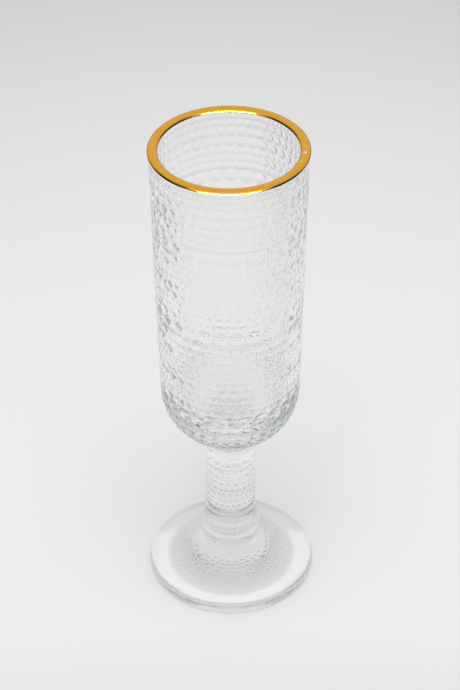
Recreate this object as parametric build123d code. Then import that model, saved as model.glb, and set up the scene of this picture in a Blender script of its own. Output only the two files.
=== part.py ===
from build123d import *
import os
from math import sqrt

# Champagne flute in pressed clear glass with a fired gold rim.
# Four pieces, all turned about Z: gold_rim, bowl, stem and foot.
# Millimetres, +Z up, origin at the centre of the foot's resting plane.
# The glass is pressed with rings of small round beads. The walls drawn here pass over
# the tops of those beads, so every size is the one that callipers would read.

# ---- Driving sizes -------------------------------------------------------------
# Whole glass
overall_height = 189.0  # table to the top of the gold
rim_diameter = 56.1  # over the gold

# Gold rim: a skin over the crowned lip
gold_thickness = 0.2  # thicker than real fired gold, so that it is a solid of its own

# Bowl: a slightly tapering tube with a thick rounded bottom
lip_thickness = 3.2  # glass at the lip
lip_crown = 0.9  # the lip's top is half an ellipse, this high
bowl_base_diameter = 51.3  # outside, where the wall turns into the bottom
bowl_base_wall = 3.4  # glass at the same place
corner_width = 18.6  # the bottom corner is a quarter ellipse: this far in
corner_rise = 21.2  # and this far up
base_thickness = 12.8  # solid glass under the drink
floor_corner_radius = 12.0  # inside corner between wall and floor
neck_length = 3.0  # stub under the bowl that the stem is fused to
neck_fillet = 1.5

# Stem: a straight solid rod
stem_diameter = 18.7
stem_length = 37.8

# Foot: a disc that sweeps up into a trumpet as wide as the stem
foot_diameter = 63.0
foot_height = 24.9  # table to the seam with the stem
collar_overhang = 1.3  # rounded collar under the seam: this far out past the stem
collar_drop = 1.3  # and this far down
disc_thickness = 5.2  # where the sweep runs out level
shoulder_width = 3.8  # rounded top edge of the disc: this far in
shoulder_drop = 2.9  # and this far down
heel_radius = 1.2  # rounded bottom edge of the disc
bearing_width = 5.5  # flat ring that the glass stands on
dish_depth = 1.7  # underside inside that ring: a shallow dish, this deep in the middle

# ---- Heights and radii that follow from them -----------------------------------
stem_radius = stem_diameter / 2
stem_top = foot_height + stem_length
bowl_bottom = stem_top + neck_length
bowl_turn = bowl_bottom + corner_rise
floor_height = bowl_bottom + base_thickness

lip_half = lip_thickness / 2
lip_outside = rim_diameter / 2 - gold_thickness
lip_inside = lip_outside - lip_thickness
lip_middle = lip_outside - lip_half
lip_height = overall_height - gold_thickness - lip_crown  # where the crown starts

base_outside = bowl_base_diameter / 2
base_inside = base_outside - bowl_base_wall

foot_radius = foot_diameter / 2
collar_radius = stem_radius + collar_overhang
dish_edge = foot_radius - heel_radius - bearing_width  # radius where the dish starts


# ---- Helpers -------------------------------------------------------------------
def turned(*edges):
    """Turns a closed outline, given as edges in (radius, height), about Z."""
    outline = Plane.XZ * make_face(Curve() + list(edges))
    return revolve(outline, Axis.Z)


def ellipse_arc(centre, width, rise, start, size=90):
    """Part of an upright ellipse round centre, anticlockwise from start degrees."""
    return EllipticalCenterArc(centre, width, rise, start_angle=start, arc_size=size)


# ---- Gold rim ------------------------------------------------------------------
def make_gold_rim():
    """A thin cap: it wraps the crown of the lip and ends level with its start."""
    centre = (lip_middle, lip_height)
    outer = lip_half + gold_thickness
    over = ellipse_arc(centre, outer, lip_crown + gold_thickness, 0, 180)
    inner_edge = Line((lip_middle - outer, lip_height), (lip_inside, lip_height))
    under = ellipse_arc(centre, lip_half, lip_crown, 0, 180)
    outer_edge = Line((lip_outside, lip_height), (lip_middle + outer, lip_height))
    return turned(over, inner_edge, under, outer_edge)


# ---- Bowl ----------------------------------------------------------------------
def make_bowl():
    """Solid outside form, with a neck stub under it, less the space for the drink."""
    turn_centre = (base_outside - corner_width, bowl_turn)
    corner = ellipse_arc(turn_centre, corner_width, corner_rise, 270)
    wall = Line((base_outside, bowl_turn), (lip_outside, lip_height))
    lip = ellipse_arc((lip_middle, lip_height), lip_half, lip_crown, 0, 180)
    closing = Polyline(
        (lip_inside, lip_height),
        (0, lip_height),
        (0, bowl_bottom),
        (base_outside - corner_width, bowl_bottom),
    )
    body = turned(corner, wall, lip, closing)

    # The stub runs up into the solid bottom, so the two fuse wherever they cross.
    stub_height = neck_length + base_thickness / 2
    stub = Pos(0, 0, stem_top + stub_height / 2) * Cylinder(stem_radius, stub_height)
    body = body + stub
    across = (stem_radius - base_outside + corner_width) / corner_width
    meeting = bowl_turn - corner_rise * sqrt(1 - max(across, 0) ** 2)
    joint = body.edges().filter_by_position(Axis.Z, meeting - 0.01, meeting + 0.01)
    body = fillet(joint, neck_fillet)

    return body - make_drink_space()


def make_drink_space():
    """The inside of the bowl, from the floor to the start of the lip's crown."""
    section = Polyline(
        (0, floor_height),
        (base_inside, floor_height),
        (lip_inside, lip_height),
        (0, lip_height),
        close=True,
    )
    face = make_face(section)
    floor_corner = face.vertices().sort_by(Axis.X)[-2:].sort_by(Axis.Y)[0]
    face = fillet(floor_corner, floor_corner_radius)
    return revolve(Plane.XZ * face, Axis.Z)


# ---- Stem ----------------------------------------------------------------------
def make_stem():
    """A rod from the foot's seam to the bowl's neck, flat at both fused ends."""
    return Pos(0, 0, foot_height + stem_length / 2) * Cylinder(stem_radius, stem_length)


# ---- Foot ----------------------------------------------------------------------
def make_foot():
    """Disc with a rounded shoulder, swept up to a collar, dished a little beneath."""
    collar_foot = foot_height - collar_drop
    collar = ellipse_arc((stem_radius, collar_foot), collar_overhang, collar_drop, 0)

    sweep_end = foot_radius - shoulder_width
    sweep_rise = collar_foot - disc_thickness
    sweep_width = sweep_end - collar_radius
    sweep = ellipse_arc((sweep_end, collar_foot), sweep_width, sweep_rise, 180)

    shoulder_centre = (sweep_end, disc_thickness - shoulder_drop)
    shoulder = ellipse_arc(shoulder_centre, shoulder_width, shoulder_drop, 0)
    edge = Line((foot_radius, disc_thickness - shoulder_drop), (foot_radius, heel_radius))
    heel = CenterArc((foot_radius - heel_radius, heel_radius), heel_radius, 270, 90)
    closing = Polyline(
        (foot_radius - heel_radius, 0),
        (0, 0),
        (0, foot_height),
        (stem_radius, foot_height),
    )
    body = turned(collar, sweep, shoulder, edge, heel, closing)

    # The dish is the cap of a large ball that crosses the resting plane at its edge.
    ball_radius = (dish_edge**2 + dish_depth**2) / (2 * dish_depth)
    return body - Pos(0, 0, dish_depth - ball_radius) * Sphere(ball_radius)


# ---- Write one STEP per piece --------------------------------------------------
os.makedirs("parts", exist_ok=True)
export_step(make_gold_rim(), "parts/gold_rim.step")
export_step(make_bowl(), "parts/bowl.step")
export_step(make_stem(), "parts/stem.step")
export_step(make_foot(), "parts/foot.step")
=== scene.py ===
# %% [markdown]
# # A pressed glass flute with a gold rim
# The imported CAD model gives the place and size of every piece. This script keeps that
# frame as it is and dresses it: beaded glass skins stand for the plain CAD walls, a
# gilded band stands for the CAD rim, and a pale studio lights them.

# %% Load the fixed frame
import math

import bpy
import numpy as np
from mathutils import Matrix, Vector


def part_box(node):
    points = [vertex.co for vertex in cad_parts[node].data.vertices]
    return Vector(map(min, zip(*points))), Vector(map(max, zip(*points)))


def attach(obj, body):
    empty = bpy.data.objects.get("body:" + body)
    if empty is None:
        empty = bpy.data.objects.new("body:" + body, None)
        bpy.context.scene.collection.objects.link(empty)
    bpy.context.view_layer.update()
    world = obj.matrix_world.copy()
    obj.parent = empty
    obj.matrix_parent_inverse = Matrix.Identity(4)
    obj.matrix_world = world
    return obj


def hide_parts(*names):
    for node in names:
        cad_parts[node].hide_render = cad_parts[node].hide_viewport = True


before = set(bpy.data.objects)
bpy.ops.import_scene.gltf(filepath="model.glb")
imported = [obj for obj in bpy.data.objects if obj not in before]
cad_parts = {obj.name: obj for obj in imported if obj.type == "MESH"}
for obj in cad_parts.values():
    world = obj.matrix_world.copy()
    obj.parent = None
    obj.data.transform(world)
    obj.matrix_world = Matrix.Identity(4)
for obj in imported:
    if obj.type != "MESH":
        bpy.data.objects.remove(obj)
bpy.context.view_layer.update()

scene = bpy.context.scene
MM = 0.001

# %% [markdown]
# ## Camera
# A long lens looks down at the glass from about forty degrees. The camera is placed by
# its distance from a point on the glass's axis, so it always looks at the object.

# %% Camera
LENS, SENSOR = 120.0, 36.0  # mm, a telephoto
DEPRESSION = math.radians(37.37)
DISTANCE = 833.8 * MM
AIM_HEIGHT = 104.3 * MM
ROLL = math.radians(-0.30)  # about the line of sight, so the glass leans by a hair
NEAREST = 50 * MM  # nothing nearer to the lens is drawn

camera_data = bpy.data.cameras.new("camera")
camera_data.lens = LENS
camera_data.sensor_width = SENSOR
camera_data.clip_start = NEAREST
camera = bpy.data.objects.new("camera", camera_data)
camera.location = (
    0,
    -DISTANCE * math.cos(DEPRESSION),
    AIM_HEIGHT + DISTANCE * math.sin(DEPRESSION),
)
tilt = Matrix.Rotation(math.pi / 2 - DEPRESSION, 3, "X")
camera.rotation_euler = (tilt @ Matrix.Rotation(ROLL, 3, "Z")).to_euler()
scene.collection.objects.link(camera)
scene.camera = camera
print("camera stands at", [round(v, 3) for v in camera.location])


# %% [markdown]
# ## Colour and node helpers
# Colours are written as the sRGB hex values that a paint program shows. Blender's
# shaders work in linear light, so one function converts them. A second small function
# adds a shader node with its settings and links.

# %% Helpers for colour and nodes
def linear(hex_colour):
    """sRGB hex such as "#C0FFEE" to a linear RGBA tuple."""
    parts = [int(hex_colour[i : i + 2], 16) / 255 for i in (1, 3, 5)]
    return tuple(
        c / 12.92 if c <= 0.04045 else ((c + 0.055) / 1.055) ** 2.4 for c in parts
    ) + (1.0,)


def add_node(tree, kind, settings=None, inputs=None):
    """Adds one node. An input given as a socket is linked, and any other is set."""
    node = tree.nodes.new(kind)
    for name, value in (settings or {}).items():
        setattr(node, name, value)
    for name, value in (inputs or {}).items():
        if isinstance(value, bpy.types.NodeSocket):
            tree.links.new(value, node.inputs[name])
        else:
            node.inputs[name].default_value = value
    return node


def new_material(name):
    """An empty node material and its output node."""
    material = bpy.data.materials.new(name)
    material.use_nodes = True
    tree = material.node_tree
    tree.nodes.clear()
    output = add_node(tree, "ShaderNodeOutputMaterial")
    print("material", name)
    return material, tree, output


SMOOTH = {"interpolation_type": "SMOOTHSTEP"}  # a Map Range that eases in and out
COLOURS = {"data_type": "RGBA"}  # a Mix of two colours, on its inputs 6 and 7


# %% [markdown]
# ## Clear pressed soda-lime glass
# Soda-lime glass bends light by an index near 1.52 and is all but colourless. The
# plunger and the mould leave a slow ripple a few millimetres long in the fire-polished
# skin, and that is what makes straight edges seen through it waver. A path tracer finds
# it hard to carry light through glass on to the table. So for the rays that carry light
# to matt surfaces the glass is plainly transparent, and the paper under the foot is lit
# much as it is beside it.

# %% Clear pressed soda-lime glass
GLASS_INDEX = 1.52
RIPPLE_LENGTH, RIPPLE_HEIGHT = 7 * MM, 0.0015 * MM
LEVEL_PASS, STEEP_PASS = 1.0, 0.80  # light that one level or one steep surface lets by
LEVEL_FROM, STEEP_FROM = 0.985, 0.90  # how far up such a surface faces, 1 being level


def make_glass():
    material, tree, output = new_material("clear_pressed_soda_lime_glass")
    place = add_node(tree, "ShaderNodeTexCoord")
    ripple = add_node(
        tree,
        "ShaderNodeTexNoise",
        inputs={
            "Vector": place.outputs["Object"],
            "Scale": 1 / RIPPLE_LENGTH,
            "Detail": 1.0,
        },
    )
    bump = add_node(
        tree,
        "ShaderNodeBump",
        inputs={
            "Height": ripple.outputs["Fac"],
            "Distance": RIPPLE_HEIGHT,
            "Strength": 1.0,
        },
    )
    glass = add_node(
        tree,
        "ShaderNodeBsdfPrincipled",
        inputs={
            "Base Color": linear("#FEFEFD"),
            "Roughness": 0.0,
            "IOR": GLASS_INDEX,
            "Transmission Weight": 1.0,
            "Normal": bump.outputs["Normal"],
        },
    )
    # A level surface lets light straight down on the paper. A steep one bends it away.
    shape = add_node(tree, "ShaderNodeNewGeometry")
    axes = add_node(
        tree, "ShaderNodeSeparateXYZ", inputs={"Vector": shape.outputs["Normal"]}
    )
    level = add_node(
        tree,
        "ShaderNodeMath",
        settings={"operation": "ABSOLUTE"},
        inputs={0: axes.outputs["Z"]},
    )
    passed = add_node(
        tree,
        "ShaderNodeMapRange",
        inputs={
            "Value": level.outputs[0],
            "From Min": STEEP_FROM,
            "From Max": LEVEL_FROM,
            "To Min": STEEP_PASS,
            "To Max": LEVEL_PASS,
        },
    )
    rays = add_node(tree, "ShaderNodeLightPath")
    unseen = add_node(
        tree, "ShaderNodeBsdfTransparent", inputs={"Color": passed.outputs["Result"]}
    )
    surface = glass
    for kind in ("Is Shadow Ray", "Is Diffuse Ray"):
        surface = add_node(
            tree,
            "ShaderNodeMixShader",
            inputs={0: rays.outputs[kind], 1: surface.outputs[0], 2: unseen.outputs[0]},
        )
    tree.links.new(surface.outputs["Shader"], output.inputs["Surface"])
    return material


GLASS = make_glass()

# %% [markdown]
# ## Fused seam
# Bowl, stem and foot are one melt on the real glass, but separate closed meshes here.
# Where two of them meet, and under the gold, light must pass as if nothing were there,
# so those faces get a fully transparent material instead of a second glass surface.

# %% Fused seam
def make_seam():
    material, tree, output = new_material("fused_seam_no_surface")
    clear = add_node(tree, "ShaderNodeBsdfTransparent")
    tree.links.new(clear.outputs["BSDF"], output.inputs["Surface"])
    return material


SEAM = make_seam()

# %% [markdown]
# ## Fired bright gold
# Liquid bright gold is brushed on the rim and fired. It comes out mirror smooth and a
# deep orange yellow, with a faint brush-drawn unevenness. Painted shade makes it darker
# and redder towards its edges. Left and right of the middle a painted dark reflection
# runs along the lower edge, the dark line under the rim. Tones read from the height and
# place on the band give these, and two small round tones are painted highlights, glints
# of small lamps on the gold.

# %% Fired bright gold
GOLD_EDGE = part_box("gold_rim")[0].z  # height of the band's lower edge
DARK_LINE_TOP, DARK_LINE_GONE = 0.35 * MM, 0.75 * MM  # painted dark reflection up to here, full gold from here up
EDGE_SHADE_TOP = 1.05 * MM  # and from here up no painted edge shade either
# The painted dark reflection starts and ends softly. Each pair is where it is still all
# dark, and where it has given way to full gold, as distances left or right of the
# middle.
DARK_LINE_STARTS = (17 * MM, 12 * MM)
DARK_LINE_ENDS = (22 * MM, 25 * MM)
PATCH_LENGTH = 3 * MM  # size of the slow changes of tone
BRUSH_LENGTH, BRUSH_HEIGHT = 1.2 * MM, 0.001 * MM
# Painted highlights, glints of small lamps on the gold: places and radii in mm, and the
# share that is fully white.
PAINTED_GLINTS = (((25.8, -3.5, 189.0), 0.85), ((24.3, -9.3, 189.0), 0.5))
GLINT_CORE = 0.6


def make_gold():
    material, tree, output = new_material("fired_bright_gold")
    place = add_node(tree, "ShaderNodeTexCoord")
    patch = add_node(
        tree,
        "ShaderNodeTexNoise",
        inputs={
            "Vector": place.outputs["Object"],
            "Scale": 1 / PATCH_LENGTH,
            "Detail": 3.0,
        },
    )
    tone = add_node(
        tree,
        "ShaderNodeMix",
        settings=COLOURS,
        inputs={0: patch.outputs["Fac"], 6: linear("#F8AA32"), 7: linear("#FFC548")},
    )
    # Painted shade makes it redder towards both edges. A painted dark reflection leaves
    # full gold only above the thin lower edge.
    axes = add_node(
        tree, "ShaderNodeSeparateXYZ", inputs={"Vector": place.outputs["Object"]}
    )
    rises = []
    for start, end in ((DARK_LINE_TOP, DARK_LINE_GONE), (0.0, EDGE_SHADE_TOP)):
        rise = add_node(
            tree,
            "ShaderNodeMapRange",
            settings=SMOOTH,
            inputs={
                "Value": axes.outputs["Z"],
                "From Min": GOLD_EDGE + start,
                "From Max": GOLD_EDGE + end,
            },
        )
        rises.append(rise.outputs["Result"])
    clear_of_dark_line, clear_of_edge_shade = rises
    # Painted shade: darker, redder gold towards both edges, where they reflect a darker
    # room.
    edge_shaded = add_node(
        tree,
        "ShaderNodeMix",
        settings=COLOURS,
        inputs={0: clear_of_edge_shade, 6: linear("#D98A3A"), 7: tone.outputs[2]},
    )
    across = add_node(
        tree,
        "ShaderNodeMath",
        settings={"operation": "ABSOLUTE"},
        inputs={0: axes.outputs["X"]},
    )
    for start, end in (DARK_LINE_STARTS, DARK_LINE_ENDS):
        full = add_node(
            tree,
            "ShaderNodeMapRange",
            settings=SMOOTH,
            inputs={"Value": across.outputs[0], "From Min": start, "From Max": end},
        )
        most = add_node(
            tree,
            "ShaderNodeMath",
            settings={"operation": "MAXIMUM"},
            inputs={0: clear_of_dark_line, 1: full.outputs["Result"]},
        )
        clear_of_dark_line = most.outputs[0]
    # Painted dark reflection: a dark line along the lower edge, only left and right of
    # the middle.
    dark_lined = add_node(
        tree,
        "ShaderNodeMix",
        settings=COLOURS,
        inputs={0: clear_of_dark_line, 6: linear("#2E1A0A"), 7: edge_shaded.outputs[2]},
    )
    colour = dark_lined.outputs[2]
    # Painted highlights: two near-white glints of small lamps on the right of the rim.
    for centre, radius in PAINTED_GLINTS:
        distance = add_node(
            tree,
            "ShaderNodeVectorMath",
            settings={"operation": "DISTANCE"},
            inputs={0: place.outputs["Object"], 1: Vector(centre) * MM},
        )
        glint_mask = add_node(
            tree,
            "ShaderNodeMapRange",
            settings=SMOOTH,
            inputs={
                "Value": distance.outputs["Value"],
                "From Min": radius * MM,
                "From Max": GLINT_CORE * radius * MM,
            },
        )
        worn = add_node(
            tree,
            "ShaderNodeMix",
            settings=COLOURS,
            inputs={0: glint_mask.outputs["Result"], 6: colour, 7: linear("#F4EFE6")},
        )
        colour = worn.outputs[2]
    brush = add_node(
        tree,
        "ShaderNodeTexNoise",
        inputs={
            "Vector": place.outputs["Object"],
            "Scale": 1 / BRUSH_LENGTH,
            "Detail": 2.0,
        },
    )
    bump = add_node(
        tree,
        "ShaderNodeBump",
        inputs={
            "Height": brush.outputs["Fac"],
            "Distance": BRUSH_HEIGHT,
            "Strength": 1.0,
        },
    )
    gold = add_node(
        tree,
        "ShaderNodeBsdfPrincipled",
        inputs={
            "Base Color": colour,
            "Metallic": 1.0,
            "Roughness": 0.08,
            "Normal": bump.outputs["Normal"],
        },
    )
    tree.links.new(gold.outputs["BSDF"], output.inputs["Surface"])
    return material


GOLD = make_gold()

# %% [markdown]
# ## Underside of the gold
# Against the glass the fired gold is dull, not a mirror. That side is never seen
# directly, but the glass below gathers its colour and would turn orange, so it gets a
# matt grey material of its own on the faces that touch the lip.

# %% Underside of the gold
def make_gold_underside():
    material, tree, output = new_material("fired_gold_underside")
    dull = add_node(
        tree,
        "ShaderNodeBsdfPrincipled",
        inputs={"Base Color": linear("#A3A6A8"), "Roughness": 0.6},
    )
    tree.links.new(dull.outputs["BSDF"], output.inputs["Surface"])
    return material


GOLD_UNDERSIDE = make_gold_underside()

# %% [markdown]
# ## Outlines
# Every piece is turned, so its surface is an outline of radius against height, swept
# round the axis. An outline is kept as closely spaced points with their running length,
# so that beads can be set out along it by real distance, as the mould cutter did.

# %% Outline helpers
SLOPE_SPAN = 0.1 * MM  # the slope at a point is read this far to each side of it


class Outline:
    """Points (radius, height) in metres, read by length along the outline."""

    def __init__(self, points):
        self.points = np.array(points, float)
        steps = np.hypot(*np.diff(self.points, axis=0).T)
        self.lengths = np.concatenate([[0], np.cumsum(steps)])
        self.total = self.lengths[-1]

    def at(self, length):
        """Radius, height and outward normal (radial, vertical) at a length."""
        radius = np.interp(length, self.lengths, self.points[:, 0])
        height = np.interp(length, self.lengths, self.points[:, 1])
        near = np.asarray(length)
        before = np.clip(near - SLOPE_SPAN, 0, self.total)
        after = np.clip(near + SLOPE_SPAN, 0, self.total)
        run = np.interp(after, self.lengths, self.points[:, 0])
        run = run - np.interp(before, self.lengths, self.points[:, 0])
        rise = np.interp(after, self.lengths, self.points[:, 1])
        rise = rise - np.interp(before, self.lengths, self.points[:, 1])
        size = np.hypot(run, rise)
        return radius, height, -rise / size, run / size


def arc(centre, width, rise, start, end, steps=48):
    """Points of an upright elliptical arc, angles in degrees."""
    turn = np.radians(np.linspace(start, end, steps))
    return [
        (centre[0] + width * math.cos(a), centre[1] + rise * math.sin(a)) for a in turn
    ]


def spaced(outline, start, end, count):
    """Points (radius, height) at even distances between two lengths of an outline."""
    radius, height, _, _ = outline.at(np.linspace(start, end, count))
    return list(zip(radius, height))


# %% [markdown]
# ## Skins
# Each glass piece is one closed mesh, built ring by ring down its outline. Plain rings
# with the same number of points are joined with quads. Two rings with different
# numbers are stitched with triangles. A Screw modifier could turn a plain outline, but
# not one whose number of points changes from ring to ring.

# %% Skin builder
class Skin:
    """Gathers the points and faces of one closed glass skin."""

    def __init__(self):
        self.points, self.faces, self.seams = [], [], []
        self.count = 0

    def add_points(self, points):
        """Adds an array of points and returns their index numbers."""
        points = np.asarray(points, float).reshape(-1, 3)
        self.points.append(points)
        first = self.count
        self.count += len(points)
        return np.arange(first, self.count)

    def add_face(self, face, seam=False):
        self.faces.append([int(i) for i in face])
        self.seams.append(seam)

    def circle(self, radius, height, sides):
        """One plain ring of points, starting at angle 0."""
        turn = np.arange(sides) * 2 * math.pi / sides
        level = np.full(sides, height)
        return self.add_points(
            np.stack([radius * np.cos(turn), radius * np.sin(turn), level], -1)
        )

    def bridge(self, upper, lower, seam=False):
        """Quads between two rings with the same number of points."""
        size = len(upper)
        for i in range(size):
            j = (i + 1) % size
            self.add_face((upper[i], lower[i], lower[j], upper[j]), seam)

    def sweep(self, edge, section, seam=False):
        """Carries an edge on through points (radius, height), and returns the last."""
        for radius, height in section:
            ring = self.circle(radius, height, len(edge))
            self.bridge(edge, ring, seam)
            edge = ring
        return edge

    def fan(self, ring, height, facing_up, seam=False):
        """Closes a ring with triangles to a point on the axis."""
        tip = self.add_points([[0, 0, height]])[0]
        size = len(ring)
        for i in range(size):
            j = (i + 1) % size
            pair = (ring[i], ring[j]) if facing_up else (ring[j], ring[i])
            self.add_face((tip, *pair), seam)

    def stitch(self, upper, lower):
        """Triangles between two rings with different numbers of points.

        Both are walked round together, and the one that lags in angle moves on.
        """
        cloud = np.concatenate(self.points)
        rings = []
        for ring in (upper, lower):
            turn = np.arctan2(cloud[ring, 1], cloud[ring, 0]) % (2 * math.pi)
            order = np.argsort(turn, kind="stable")
            rings.append((np.asarray(ring)[order], turn[order]))
        (top, top_turn), (low, low_turn) = rings
        # Starts at the lower point nearest in angle to the first upper point.
        gap = (low_turn - top_turn[0] + math.pi) % (2 * math.pi) - math.pi
        start = int(np.argmin(np.abs(gap)))
        low = np.roll(low, -start)
        low_turn = (np.roll(low_turn, -start) - top_turn[0] + math.pi) % (2 * math.pi)
        low_turn = low_turn - math.pi
        low_turn[1:] = low_turn[1:] % (2 * math.pi)
        top_turn = top_turn - top_turn[0]
        low_turn = np.append(low_turn, low_turn[0] + 2 * math.pi)
        top_turn = np.append(top_turn, 2 * math.pi)
        i = j = 0
        while i < len(top) or j < len(low):
            take_top = j == len(low) or (
                i < len(top) and top_turn[i + 1] <= low_turn[j + 1]
            )
            here_top, here_low = top[i % len(top)], low[j % len(low)]
            if take_top:
                self.add_face((here_top, here_low, top[(i + 1) % len(top)]))
                i += 1
            else:
                self.add_face((here_top, here_low, low[(j + 1) % len(low)]))
                j += 1

    def to_piece(self, name):
        """Makes the Blender object, smooth shaded, with its glass and seam faces."""
        mesh = bpy.data.meshes.new(name)
        mesh.from_pydata(np.concatenate(self.points).tolist(), [], self.faces)
        mesh.materials.append(GLASS)
        mesh.materials.append(SEAM)
        mesh.polygons.foreach_set("material_index", [int(s) for s in self.seams])
        mesh.polygons.foreach_set("use_smooth", [not s for s in self.seams])
        mesh.validate()
        mesh.update()
        piece = bpy.data.objects.new(name, mesh)
        scene.collection.objects.link(piece)
        triangles = sum(len(f) - 2 for f in self.faces)
        print(name, "has", triangles, "triangles")
        return piece


# %% [markdown]
# ## Bead rings
# The mould is cut with rings of round dimples, so the glass comes out with rings of
# round beads. Painting them as a bump would leave the outline smooth and bend light
# wrongly, so each bead is a real dome. A dome sits in its own four-sided cell, and
# cells stand side by side round a ring. Rings of different bead sizes have different
# counts, so the narrow land between two rings is stitched.

# %% Bead rings
CHANCE = np.random.default_rng(7)
BEAD_FILL = 0.93  # bead diameter as a share of its cell
CELL_MARGIN = 0.02 * MM  # glass above and below a bead in its cell
LANDS = 0.35 * MM  # plain glass between one ring and the next
GAP = 0.3 * MM  # plain glass before the first ring of a zone, or after its last
SIZE_SPREAD, SWELL_SPREAD = 0.03, 0.06  # how much beads of a ring differ
# Bead height as a share of its diameter, by where the beads are.
WALL_SWELL = 0.065
BASE_SWELL = 0.11
STEM_SWELL = 0.075
LOW_STEM_SWELL = 1.5 * STEM_SWELL
COLLAR_SWELL = 0.15
FOOT_SWELL = 0.05
# The wall's mould is worn. Its flattest beads lose this share of their height, and its
# crispest, on one side, gain up to three times as much.
UNEVEN = 0.27
CRISP_SIDE = math.radians(47)  # direction of the crispest beads
SMALL_BEAD, MIDDLE_BEAD = 2.7 * MM, 4.5 * MM  # beads below these sizes get fewer faces


def dome_levels(bead):
    """Segments round a bead, and the shares of its radius where its rings lie."""
    if bead < SMALL_BEAD:
        return 8, (0.5, 0.84, 1.0)
    if bead < MIDDLE_BEAD:
        return 12, (0.4, 0.75, 0.95, 1.0)
    return 16, (0.3, 0.6, 0.85, 0.97, 1.0)


def bead_ring(skin, outline, middle, bead, share, uneven):
    """Adds one ring of beads centred at a length along the outline.

    Returns the ring's upper and lower edge points for stitching.
    """
    ring_radius = float(outline.at(middle)[0])
    cells = round(2 * math.pi * ring_radius / (bead / BEAD_FILL))
    pitch = 2 * math.pi / cells
    half_width = bead / 2 + CELL_MARGIN
    sides, levels = dome_levels(bead)
    per_edge = sides // 4
    stand = share * bead
    phase = CHANCE.uniform(0, 1)

    def place(along, angle, lift):
        radius, height, out_r, out_z = outline.at(middle + along)
        radius = radius + out_r * (lift - stand)
        height = height + out_z * (lift - stand)
        return np.stack([radius * np.cos(angle), radius * np.sin(angle), height], -1)

    # Cell borders: a grid of points shared by neighbours round the ring.
    steps = cells * per_edge
    border_angle = (np.arange(steps) / per_edge + phase - 0.5) * pitch
    upper = skin.add_points(place(np.full(steps, -half_width), border_angle, 0.0))
    lower = skin.add_points(place(np.full(steps, half_width), border_angle, 0.0))
    posts = []
    for row in range(1, per_edge):
        along = np.full(cells, (2 * row / per_edge - 1) * half_width)
        angle = (np.arange(cells) + phase - 0.5) * pitch
        posts.append(skin.add_points(place(along, angle, 0.0)))

    # Domes: rings of points, with a point on top of each.
    spoke = math.pi / 4 + np.arange(sides) * 2 * math.pi / sides
    size = bead / 2 * (1 + CHANCE.uniform(-SIZE_SPREAD, SIZE_SPREAD, cells))
    centre_angle = (np.arange(cells) + phase) * pitch
    side = np.cos(centre_angle - CRISP_SIDE)
    worn = np.where(side > 0, 4 * side**6, 2 * side**2) - 1
    spread = CHANCE.uniform(-SWELL_SPREAD, SWELL_SPREAD, cells)
    swell = stand * (1 + uneven * worn) * (1 + spread)
    shells = []
    for level in levels:
        across = np.outer(size * level, np.cos(spoke))
        along = -np.outer(size * level, np.sin(spoke))
        lift = np.outer(swell * (1 - level**2), np.ones(sides))
        angle = centre_angle[:, None] + across / ring_radius
        shells.append(skin.add_points(place(along, angle, lift)).reshape(cells, sides))
    tips = skin.add_points(place(np.zeros(cells), centre_angle, swell))

    for c in range(cells):
        n = (c + 1) % cells
        right = [posts[k][n] for k in range(per_edge - 1)]
        left = [posts[k][c] for k in range(per_edge - 1)]
        top = [upper[(c * per_edge + k) % steps] for k in range(per_edge + 1)]
        low = [lower[(c * per_edge + k) % steps] for k in range(per_edge + 1)]
        # Anticlockwise from the upper right corner, as the spokes go.
        border = [*top[::-1], *left, *low, *right[::-1]]
        for k in range(sides):
            m = (k + 1) % sides
            skin.add_face((tips[c], shells[0][c, k], shells[0][c, m]))
            for inner, outer in zip(shells, shells[1:]):
                skin.add_face((inner[c, k], outer[c, k], outer[c, m], inner[c, m]))
            last = shells[-1]
            skin.add_face((last[c, k], border[k], border[m], last[c, m]))
    return upper, lower


def bead_zone(skin, outline, start, beads, edge, share, uneven=0.0):
    """Sets rings of beads, sizes in mm, one after another from a length onwards.

    edge is the ring of points above the zone. Returns the lowest edge and its length.
    """
    position = start
    for bead in beads:
        bead = bead * MM
        middle = position + bead / 2
        upper, lower = bead_ring(skin, outline, middle, bead, share, uneven)
        skin.stitch(edge, upper)
        edge = lower
        position += bead + LANDS
    return edge, position - LANDS


# %% [markdown]
# ## Sizes read from the frame
# Radii and heights come from the boxes of the CAD nodes. The few that a box can't give,
# such as the glass thickness at the lip, repeat the CAD model's own values.

# %% Sizes
gold_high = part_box("gold_rim")[1]
bowl_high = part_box("bowl")[1]
stem_low, stem_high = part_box("stem")
foot_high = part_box("foot")[1]

GOLD_SKIN = gold_high.x - bowl_high.x
LIP_HALF, LIP_CROWN = 3.2 / 2 * MM, 0.9 * MM
LIP_OUTSIDE = bowl_high.x
LIP_HEIGHT = bowl_high.z - LIP_CROWN
LIP_MIDDLE = LIP_OUTSIDE - LIP_HALF
NECK, NECK_FILLET = 3.0 * MM, 1.5 * MM
STEM_RADIUS = stem_high.x
BOWL_BOTTOM = stem_high.z + NECK
CORNER_WIDTH, CORNER_RISE = 18.6 * MM, 21.2 * MM
BASE_OUTSIDE = 51.3 / 2 * MM
BASE_WALL, BASE_THICKNESS = 3.4 * MM, 12.8 * MM
FLOOR_ROUND = 12.0 * MM
SKIN_SIDES = {"bowl": 144, "stem": 96, "foot": 192, "gold": 256}  # in a plain ring
print("lip radius", round(LIP_OUTSIDE / MM, 2), "stem", round(STEM_RADIUS / MM, 2))

# %% [markdown]
# ## Bowl
# The outside carries the bead rings from just under the gold to the stem. The inside
# was shaped by a polished plunger, so it is smooth. The lip is rounded by fire.

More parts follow.
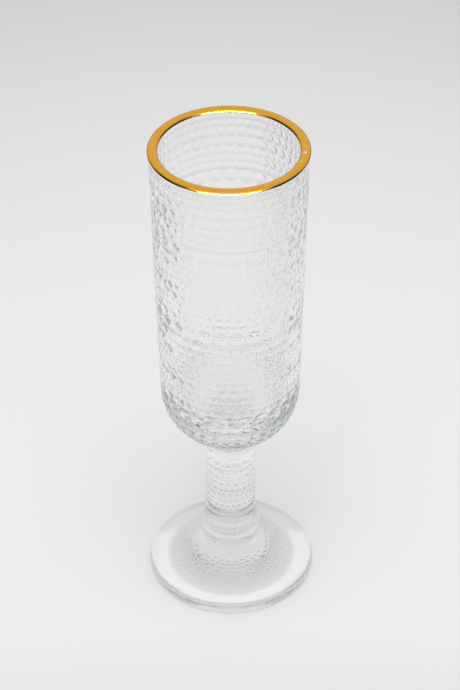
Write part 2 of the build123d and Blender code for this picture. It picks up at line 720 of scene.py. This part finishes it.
# %% Bowl
WALL_BEADS = [
    1.8, 3.1, 3.5, 4.0, 2.5, 3.1, 2.1, 5.4, 3.3, 2.3, 3.5, 2.2, 3.1, 3.4, 2.2, 3.1,
    2.2, 5.5, 3.5, 3.5, 3.4, 2.4, 2.4, 2.5, 3.9, 2.4, 2.5, 2.8,
]
BASE_BEADS = [5.7, 3.8, 3.8, 3.7, 2.6, 2.3, 1.9]
WALL_START = 1.8 * MM  # plain glass under the gold
FLOOR_MIDDLE = 0.5 * MM  # radius of the last plain ring, at the middle of the floor
NECK_START = 80  # degrees of the neck's fillet that are left after the last beads


def bowl_outline():
    """Outside of the bowl over the bead tops, from the lip down to the neck's top."""
    turn = (BASE_OUTSIDE - CORNER_WIDTH, BOWL_BOTTOM + CORNER_RISE)
    wall = [(LIP_OUTSIDE, LIP_HEIGHT), (BASE_OUTSIDE, turn[1])]
    corner = arc(turn, CORNER_WIDTH, CORNER_RISE, 0, -90, 90)
    reach = STEM_RADIUS + NECK_FILLET
    return Outline(wall + [p for p in corner[1:] if p[0] > reach])


def bowl_inside():
    """Inside of the bowl, from the lip down to the middle of the floor."""
    floor = BOWL_BOTTOM + BASE_THICKNESS
    inside = BASE_OUTSIDE - BASE_WALL
    centre = (inside - FLOOR_ROUND, floor + FLOOR_ROUND)
    corner = arc(centre, FLOOR_ROUND, FLOOR_ROUND, 0, -90)
    lip = (LIP_OUTSIDE - 2 * LIP_HALF, LIP_HEIGHT)
    return Outline([lip, *corner, (FLOOR_MIDDLE, floor)])


def make_bowl():
    skin = Skin()
    # Inside, from the middle of the floor up to the lip.
    inside = bowl_inside()
    section = spaced(inside, inside.total, 0, 56)
    edge = skin.circle(*section[0], SKIN_SIDES["bowl"])
    skin.fan(edge, section[0][1], facing_up=True)
    edge = skin.sweep(edge, section[1:])
    # Over the lip. The gold covers it, so it is a seam.
    lip = arc((LIP_MIDDLE, LIP_HEIGHT), LIP_HALF, LIP_CROWN, 180, 0, 15)
    edge = skin.sweep(edge, lip[1:], seam=True)
    # Down the outside.
    outline = bowl_outline()
    radius, height, _, _ = outline.at(WALL_START - GAP)
    edge = skin.sweep(edge, [(radius, height)])
    edge, reached = bead_zone(
        skin, outline, WALL_START, WALL_BEADS, edge, WALL_SWELL, UNEVEN
    )
    print("wall rings end at", round(reached / MM, 1))
    edge, reached = bead_zone(
        skin, outline, reached + LANDS, BASE_BEADS, edge, BASE_SWELL
    )
    print("bowl beads end", round(reached / MM, 1), "of", round(outline.total / MM, 1))
    # Neck: a small fillet and the flat face that is fused to the stem.
    neck = [
        (
            STEM_RADIUS + NECK_FILLET * (1 - math.cos(a)),
            BOWL_BOTTOM - NECK_FILLET * (1 - math.sin(a)),
        )
        for a in np.radians(np.linspace(NECK_START, 0, 6))
    ]
    ring = skin.circle(*neck[0], SKIN_SIDES["stem"])
    skin.stitch(edge, ring)
    ring = skin.sweep(ring, [*neck[1:], (STEM_RADIUS, stem_high.z)])
    skin.fan(ring, stem_high.z, facing_up=False, seam=True)
    piece = skin.to_piece("beaded_bowl")
    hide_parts("bowl")
    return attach(piece, "root")


make_bowl()

# %% [markdown]
# ## Stem
# A solid rod, smooth at the top and the bottom, with a band of small bead rings
# between. A turned line would give a plain rod, but beads need points of their own, so
# it is built ring by ring like the bowl.

# %% Stem
STEM_BEADS = [3.4, 2.2, 3.3]
LOW_STEM_BEADS = [2.6, 2.3, 2.2, 2.2, 2.2]  # these stand a little taller
STEM_START = 7.0 * MM  # length of the smooth part at the top
STEM_MARGIN = 0.4 * MM  # plain glass above and below the bead rings


def make_stem():
    skin = Skin()
    sides = SKIN_SIDES["stem"]
    top, low = stem_high.z, stem_low.z
    outline = Outline([(STEM_RADIUS, top), (STEM_RADIUS, low)])
    ring = skin.circle(STEM_RADIUS, top, sides)
    skin.fan(ring, top, facing_up=True, seam=True)
    drops = (2.5 * MM, 5.0 * MM, STEM_START - STEM_MARGIN)
    edge = skin.sweep(ring, [(STEM_RADIUS, top - drop) for drop in drops])
    edge, reached = bead_zone(skin, outline, STEM_START, STEM_BEADS, edge, STEM_SWELL)
    edge, reached = bead_zone(
        skin, outline, reached + LANDS, LOW_STEM_BEADS, edge, LOW_STEM_SWELL
    )
    print("stem beads end", round((top - reached) / MM, 1), "mm above the table")
    heights = np.linspace(top - reached - STEM_MARGIN, low, 6)
    ring = skin.circle(STEM_RADIUS, heights[0], sides)
    skin.stitch(edge, ring)
    ring = skin.sweep(ring, [(STEM_RADIUS, z) for z in heights[1:]])
    skin.fan(ring, low, facing_up=False, seam=True)
    piece = skin.to_piece("beaded_stem")
    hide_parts("stem")
    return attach(piece, "root")


make_stem()

# %% [markdown]
# ## Foot
# A disc swept up to the stem like a trumpet. Its top is smooth apart from a thin line
# pressed in at the seam and one ring of small beads on the collar below it. The other
# beads are on the hollowed underside, so they are seen through the glass. The outline
# of the top is two elliptical arcs, and the same few numbers shape the CAD solid.

# %% Foot
COLLAR_OVERHANG, COLLAR_DROP = 1.3 * MM, 1.3 * MM
DISC = 5.2 * MM  # thickness where the sweep ends
SHOULDER_WIDTH, SHOULDER_DROP = 3.8 * MM, 2.9 * MM
HEEL = 1.2 * MM  # radius of the edge it stands on
BEARING = 5.5 * MM  # width of the flat ring that touches the table
DISH = 1.7 * MM  # depth of the hollow in the middle
GROOVE = 0.5 * MM  # depth and width of the line pressed in where the stem stands
COLLAR_START = 1.4 * MM  # length down the collar where its beads start
COLLAR_BEADS = [2.3]
DISH_TURN, DISH_BORDER = 0.4 * MM, 3.1 * MM  # first plain ring in the dish, first beads
FOOT_BEADS = [2.6, 1.6, 1.8, 2.0, 1.7, 2.2, 1.8, 2.1]


class UnderSide:
    """The foot's dished underside, read from its edge inwards: beads hang below it."""

    def __init__(self, edge, depth):
        self.edge, self.depth = edge, depth

    def at(self, length):
        radius = np.clip(self.edge - np.asarray(length, float), 0, None)
        height = self.depth * (1 - (radius / self.edge) ** 2)
        slope = 2 * self.depth * radius / self.edge**2
        size = np.hypot(1, slope)
        return radius, height, -slope / size, -1 / size


def foot_outline():
    """Top of the foot: down the rounded collar, then out along the trumpet sweep."""
    collar_foot = foot_high.z - COLLAR_DROP
    collar_radius = STEM_RADIUS + COLLAR_OVERHANG
    sweep_end = foot_high.x - SHOULDER_WIDTH
    collar = arc((STEM_RADIUS, collar_foot), COLLAR_OVERHANG, COLLAR_DROP, 90, 0, 24)
    centre, width = (sweep_end, collar_foot), sweep_end - collar_radius
    return Outline(collar + arc(centre, width, collar_foot - DISC, 180, 270, 120)[1:])


def make_foot():
    skin = Skin()
    sides = SKIN_SIDES["foot"]
    foot_radius, seam = foot_high.x, foot_high.z
    outline = foot_outline()
    # Seam with the stem, the groove, the rounded collar and its small beads.
    ring = skin.circle(STEM_RADIUS, seam, sides)
    skin.fan(ring, seam, facing_up=True, seam=True)
    groove = [(STEM_RADIUS + GROOVE / 2, seam - GROOVE)]
    collar = spaced(outline, GROOVE, COLLAR_START - 0.2 * MM, 5)
    edge = skin.sweep(ring, groove + collar)
    edge, reached = bead_zone(
        skin, outline, COLLAR_START, COLLAR_BEADS, edge, COLLAR_SWELL
    )
    sweep = spaced(outline, reached + GAP, outline.total, 60)
    ring = skin.circle(*sweep[0], sides)
    skin.stitch(edge, ring)
    edge = skin.sweep(ring, sweep[1:])
    # Shoulder, edge and heel, and the flat ring that it stands on.
    centre = (foot_radius - SHOULDER_WIDTH, DISC - SHOULDER_DROP)
    shoulder = arc(centre, SHOULDER_WIDTH, SHOULDER_DROP, 90, 0, 16)
    heel = arc((foot_radius - HEEL, HEEL), HEEL, HEEL, 0, -90, 8)
    dish_edge = foot_radius - HEEL - BEARING
    edge = skin.sweep(edge, shoulder[1:] + heel + [(dish_edge, 0)])
    # The dish: a plain soft border, then rings of beads in to the middle.
    under = UnderSide(dish_edge, DISH)
    edge = skin.sweep(edge, spaced(under, DISH_TURN, DISH_BORDER - GAP, 7))
    edge, reached = bead_zone(skin, under, DISH_BORDER, FOOT_BEADS, edge, FOOT_SWELL)
    radius, height, _, _ = under.at(reached + GAP)
    ring = skin.circle(radius, height, 48)
    skin.stitch(edge, ring)
    skin.fan(ring, height, facing_up=False)
    piece = skin.to_piece("beaded_foot")
    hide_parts("foot")
    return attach(piece, "root")


make_foot()

# %% [markdown]
# ## Gold band
# The gold is a skin over the rounded lip. It is built as a fine half ring of its own,
# closed against the glass, so that its reflections run smoothly round the rim. A torus
# would do for a round section, but this lip is a flattened half ellipse.

# %% Gold band
def make_gold_band():
    sides, steps = SKIN_SIDES["gold"], 28
    turn = np.arange(sides) * 2 * math.pi / sides
    centre = (LIP_MIDDLE, LIP_HEIGHT)
    section = arc(centre, LIP_HALF + GOLD_SKIN, LIP_CROWN + GOLD_SKIN, 0, 180, steps)
    section += arc(centre, LIP_HALF, LIP_CROWN, 180, 0, steps)
    points, faces = [], []
    for t in turn:
        for r, z in section:
            points.append((r * math.cos(t), r * math.sin(t), z))
    size = len(section)
    for i in range(sides):
        j = (i + 1) % sides
        for k in range(size):
            m = (k + 1) % size
            faces.append((i * size + k, j * size + k, j * size + m, i * size + m))
    mesh = bpy.data.meshes.new("gold_band")
    mesh.from_pydata(points, [], faces)
    mesh.materials.append(GOLD)
    mesh.materials.append(GOLD_UNDERSIDE)
    # A section's first half faces out and its second half faces the glass.
    against_glass = [int(steps < k < size - 1) for k in range(size)] * sides
    mesh.polygons.foreach_set("material_index", against_glass)
    mesh.polygons.foreach_set("use_smooth", [True] * len(faces))
    mesh.update()
    mesh.set_sharp_from_angle(angle=math.radians(40))
    piece = bpy.data.objects.new("gold_band", mesh)
    scene.collection.objects.link(piece)
    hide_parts("gold_rim")
    print("gold_band has", 2 * len(faces), "triangles")
    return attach(piece, "root")


make_gold_band()

# %% [markdown]
# ## Paper
# The glass stands on a wide sheet of background paper, white in the middle. Painted
# shade greys it further out, where less light falls, and a little towards the front. A
# real foot gathers light into a soft bright ring under it. A path tracer
# draws such a ring slowly and with much noise, so here it is a slightly lighter tone of
# the paper, on the near side of the foot only.

# %% Paper
FALLOFF_START, FALLOFF_FULL = 180 * MM, 1250 * MM  # painted shade starts here, and is full from here out
SIDE_HASTE = 1.3  # how much sooner the painted shade falls to the sides than to the back
FRONT_SHADE_START, FRONT_SHADE_FULL = -30 * MM, -85 * MM  # painted shade also greys it a little at the front
RING_INSIDE, RING_OUTSIDE = 24 * MM, 31 * MM  # radii of the light the foot gathers
RING_SOFT = 1 * MM  # half the width over which it starts and ends
RING_FAR, RING_FAR_SOFT = 15 * MM, 5 * MM  # how far back it reaches, and its soft ends
PAPER_HALF_WIDTH, PAPER_FRONT, PAPER_BACK = 1600 * MM, -660 * MM, 2400 * MM


def make_paper():
    """A background sheet, white in the middle, with painted shade greying it further
    out.
    """
    material, tree, output = new_material("white_background_paper")
    place = add_node(tree, "ShaderNodeTexCoord")
    depth = add_node(
        tree, "ShaderNodeSeparateXYZ", inputs={"Vector": place.outputs["Object"]}
    )
    # Painted shade: a little greyer towards the front.
    front_shade = add_node(
        tree,
        "ShaderNodeMapRange",
        settings=SMOOTH,
        inputs={
            "Value": depth.outputs["Y"],
            "From Min": FRONT_SHADE_START,
            "From Max": FRONT_SHADE_FULL,
        },
    )
    clear = add_node(
        tree,
        "ShaderNodeMix",
        settings=COLOURS,
        inputs={0: front_shade.outputs["Result"], 6: linear("#F1EFED"), 7: linear("#E8E6E4")},
    )
    # Painted shade: greyer further out, sooner to the sides than to the back.
    stretched = add_node(
        tree,
        "ShaderNodeVectorMath",
        settings={"operation": "MULTIPLY"},
        inputs={0: place.outputs["Object"], 1: (SIDE_HASTE, 1, 1)},
    )
    away = add_node(
        tree,
        "ShaderNodeVectorMath",
        settings={"operation": "LENGTH"},
        inputs={0: stretched.outputs[0]},
    )
    falloff_shade = add_node(
        tree,
        "ShaderNodeMapRange",
        settings=SMOOTH,
        inputs={
            "Value": away.outputs["Value"],
            "From Min": FALLOFF_START,
            "From Max": FALLOFF_FULL,
        },
    )
    tone = add_node(
        tree,
        "ShaderNodeMix",
        settings=COLOURS,
        inputs={0: falloff_shade.outputs["Result"], 6: clear.outputs[2], 7: linear("#7A7E83")},
    )
    # The foot gathers light in a ring on its near side, read from the middle outwards.
    radius = add_node(
        tree,
        "ShaderNodeVectorMath",
        settings={"operation": "LENGTH"},
        inputs={0: place.outputs["Object"]},
    )
    gathered = 1.0
    for reading, start, end in (
        (radius.outputs["Value"], RING_INSIDE - RING_SOFT, RING_INSIDE + RING_SOFT),
        (radius.outputs["Value"], RING_OUTSIDE + RING_SOFT, RING_OUTSIDE - RING_SOFT),
        (depth.outputs["Y"], RING_FAR, RING_FAR - RING_FAR_SOFT),
    ):
        step = add_node(
            tree,
            "ShaderNodeMapRange",
            settings=SMOOTH,
            inputs={"Value": reading, "From Min": start, "From Max": end},
        )
        product = add_node(
            tree,
            "ShaderNodeMath",
            settings={"operation": "MULTIPLY"},
            inputs={0: step.outputs["Result"], 1: gathered},
        )
        gathered = product.outputs[0]
    brightened = add_node(
        tree,
        "ShaderNodeMix",
        settings=COLOURS,
        inputs={0: gathered, 6: tone.outputs[2], 7: linear("#FFFDFA")},
    )
    paper = add_node(
        tree,
        "ShaderNodeBsdfPrincipled",
        inputs={
            "Base Color": brightened.outputs[2],
            "Roughness": 0.9,
            "Specular IOR Level": 0.1,
        },
    )
    tree.links.new(paper.outputs["BSDF"], output.inputs["Surface"])
    mesh = bpy.data.meshes.new("paper")
    level = -0.05 * MM  # a hair below the foot, so that the two never share a plane
    left, right = -PAPER_HALF_WIDTH, PAPER_HALF_WIDTH
    corners = [(left, PAPER_FRONT, level), (right, PAPER_FRONT, level)]
    corners += [(right, PAPER_BACK, level), (left, PAPER_BACK, level)]
    mesh.from_pydata(corners, [], [(0, 1, 2, 3)])
    mesh.materials.append(material)
    paper = bpy.data.objects.new("paper", mesh)
    scene.collection.objects.link(paper)


make_paper()

# %% [markdown]
# ## Room
# Clear glass has no colour of its own: it shows the room, bent. So the room matters as
# much as the glass. A white tent overhead and behind keeps it light. Greyer sides, a
# grey near end and a dark floor draw the edges of the beads, as grey cards do in a
# studio. They are tones of the world all round, so no card stands in anyone's way.

# %% Room
TENT = "#DCDDDE"
LEFT, RIGHT = "#8B98A6", "#BCC2C8"
NEAR = "#818B96"
FLOOR = "#5A6168"


def make_room():
    """Ambient light: a pale tent with grey sides and near end, over a dark floor."""
    world = bpy.data.worlds.new("room")
    world.use_nodes = True
    scene.world = world
    tree = world.node_tree
    tree.nodes.clear()
    output = add_node(tree, "ShaderNodeOutputWorld")
    place = add_node(tree, "ShaderNodeTexCoord")
    axes = add_node(
        tree, "ShaderNodeSeparateXYZ", inputs={"Vector": place.outputs["Generated"]}
    )
    # Each change of tone: where it is read, where it starts and ends, the next colour.
    steps = (
        (axes.outputs["X"], -0.60, -0.92, LEFT),
        (axes.outputs["X"], 0.60, 0.92, RIGHT),
        (axes.outputs["Y"], -0.20, -0.75, NEAR),
        (axes.outputs["Z"], 0.02, -0.06, FLOOR),
    )
    colour = linear(TENT)
    for reading, start, end, next_colour in steps:
        share = add_node(
            tree,
            "ShaderNodeMapRange",
            settings=SMOOTH,
            inputs={"Value": reading, "From Min": start, "From Max": end},
        )
        mix = add_node(
            tree,
            "ShaderNodeMix",
            settings=COLOURS,
            inputs={0: share.outputs["Result"], 6: colour, 7: linear(next_colour)},
        )
        colour = mix.outputs[2]
    glow = add_node(
        tree, "ShaderNodeBackground", inputs={"Color": colour, "Strength": 1.0}
    )
    tree.links.new(glow.outputs["Background"], output.inputs["Surface"])


make_room()
print("room: tent", TENT, "left", LEFT, "right", RIGHT, "near", NEAR, "floor", FLOOR)

# %% [markdown]
# ## Lamps
# The glass itself is lit by the room alone. A wide window behind the camera, and its
# soft glow, light only the gold: they draw the white line along the rim. Two lamps
# overhead light only the paper, and the small one gives the rim a faint shadow. Light
# linking keeps each lamp to its own object, so that one can be tuned without the other.

# %% Lamps
def add_softbox(name, position, target, width, height, radiance, shape):
    """A flat lamp. Its power follows from how bright its face should look."""
    light = bpy.data.lights.new(name, "AREA")
    light.shape = shape
    light.size, light.size_y = width, height
    light.energy = radiance * math.pi * width * height
    lamp = bpy.data.objects.new(name, light)
    lamp.location = position
    direction = Vector(target) - Vector(position)
    lamp.rotation_euler = direction.to_track_quat("-Z", "Y").to_euler()
    scene.collection.objects.link(lamp)
    print(name, "gives", round(light.energy, 1), "W")
    return lamp


def light_only(lamp, name):
    """Keeps a lamp's light to one named object."""
    lit = bpy.data.collections.new(lamp.name + "_lights")
    lit.objects.link(bpy.data.objects[name])
    lamp.light_linking.receiver_collection = lit


RIM, TABLE = (0, 0, 0.19), (0, 0, 0)
SOFTBOXES = (
    # Name, place, target, width, height, brightness, shape and what it lights.
    ("window", (0, -2.2, 0.46), RIM, 4.0, 0.5, 80, "ELLIPSE", "gold_band"),
    ("window_glow", (0, -1.5, 1.6), RIM, 5.0, 2.4, 0.8, "ELLIPSE", "gold_band"),
    ("paper_lamp", (0, -0.22, 1.1), TABLE, 0.5, 0.5, 6.7, "RECTANGLE", "paper"),
    ("small_lamp", (-0.1, -0.45, 1.06), TABLE, 0.04, 0.04, 90, "RECTANGLE", "paper"),
)
for *lamp_sizes, lit in SOFTBOXES:
    light_only(add_softbox(*lamp_sizes), lit)

# %% [markdown]
# ## Bounces
# A ray can bounce many times inside thick glass before it leaves. Cut off too early it
# turns black, and dark blobs spread over the sides, so every limit that counts bounces
# in glass is high. Caustics are off: the glass already passes light to the paper.

# %% Bounces
BOUNCES = 24
scene.view_settings.view_transform = "Standard"
scene.cycles.max_bounces = BOUNCES
scene.cycles.transmission_bounces = BOUNCES
scene.cycles.transparent_max_bounces = BOUNCES
scene.cycles.glossy_bounces = BOUNCES
scene.cycles.diffuse_bounces = 3
scene.cycles.caustics_refractive = False
scene.cycles.caustics_reflective = False
scene.cycles.use_denoising = True
print("up to", BOUNCES, "bounces in glass")
